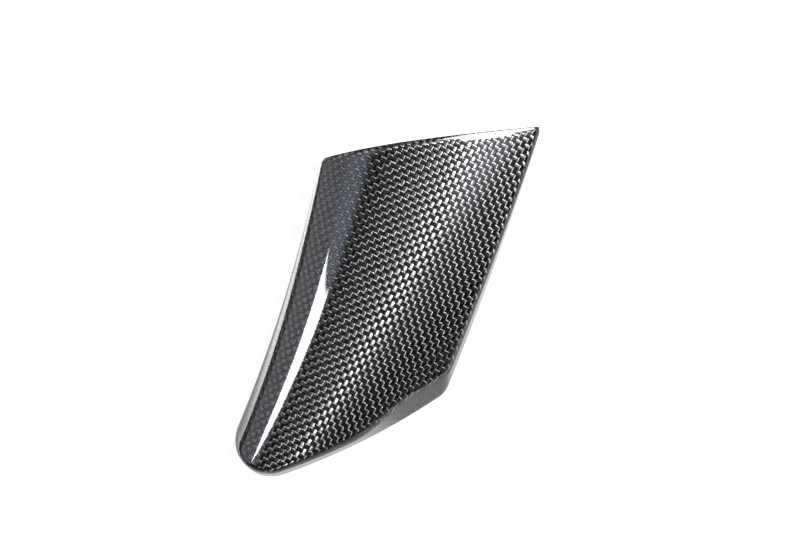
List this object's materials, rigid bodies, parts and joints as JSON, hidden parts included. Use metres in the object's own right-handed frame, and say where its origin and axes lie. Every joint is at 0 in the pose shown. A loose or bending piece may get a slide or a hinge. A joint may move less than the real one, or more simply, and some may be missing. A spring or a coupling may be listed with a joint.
{
  "type": "wing mirror frame",
  "caption": "Hollow blade-shaped shell of a car's wing mirror: arched face, upright side walls on a flat rim, open underneath and at its wide end.",
  "frame": {"origin": "centre of the overall box in plan, on the plane of the rim", "axes": "+Y along the blade towards its open wide end, +X towards the trailing edge, +Z out of the arched face, away from the open underside"},
  "size_m": [0.0776, 0.1562, 0.0382],
  "materials": {
    "carbon_laminate": "plain-weave carbon fibre laminate under clear gloss lacquer"
  },
  "bodies": {
    "root": {"mirror_frame": "carbon_laminate"}
  },
  "joints": []
}
